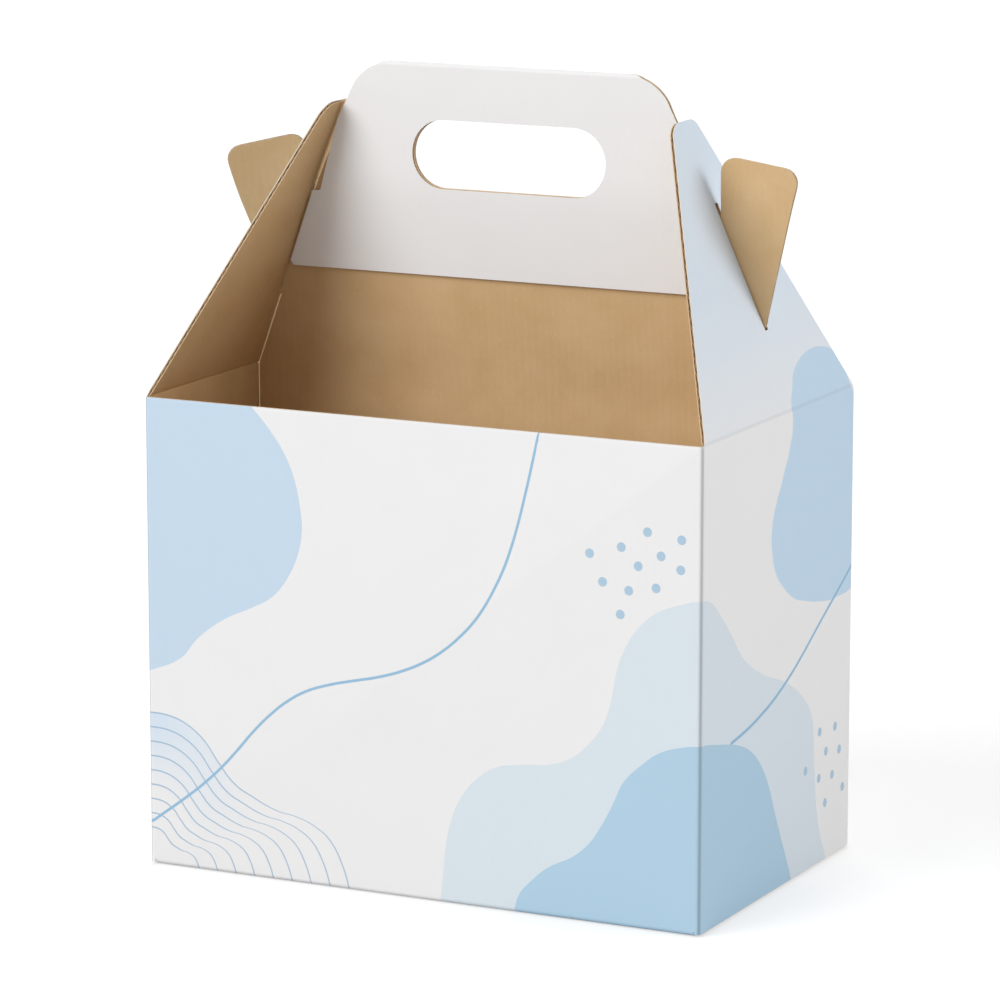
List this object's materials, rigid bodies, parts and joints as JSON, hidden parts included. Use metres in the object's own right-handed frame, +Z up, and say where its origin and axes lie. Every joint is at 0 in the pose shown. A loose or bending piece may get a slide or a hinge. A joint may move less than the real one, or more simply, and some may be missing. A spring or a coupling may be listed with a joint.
{
  "type": "gable box",
  "caption": "Open carry carton folded from one sheet of microflute board, with leaning gables, a centre partition and a doubled handle with a hand hole, locked by ears.",
  "frame": {"origin": "on the ground under the middle of the body", "axes": "+X to the right along the front wall, +Y from the front wall to the back wall, +Z up"},
  "size_m": [0.244, 0.148, 0.3165],
  "materials": {
    "board": "white coated outside with pale blue shapes, bare brown kraft inside"
  },
  "bodies": {
    "root": {"folded_carton": "board"}
  },
  "joints": []
}
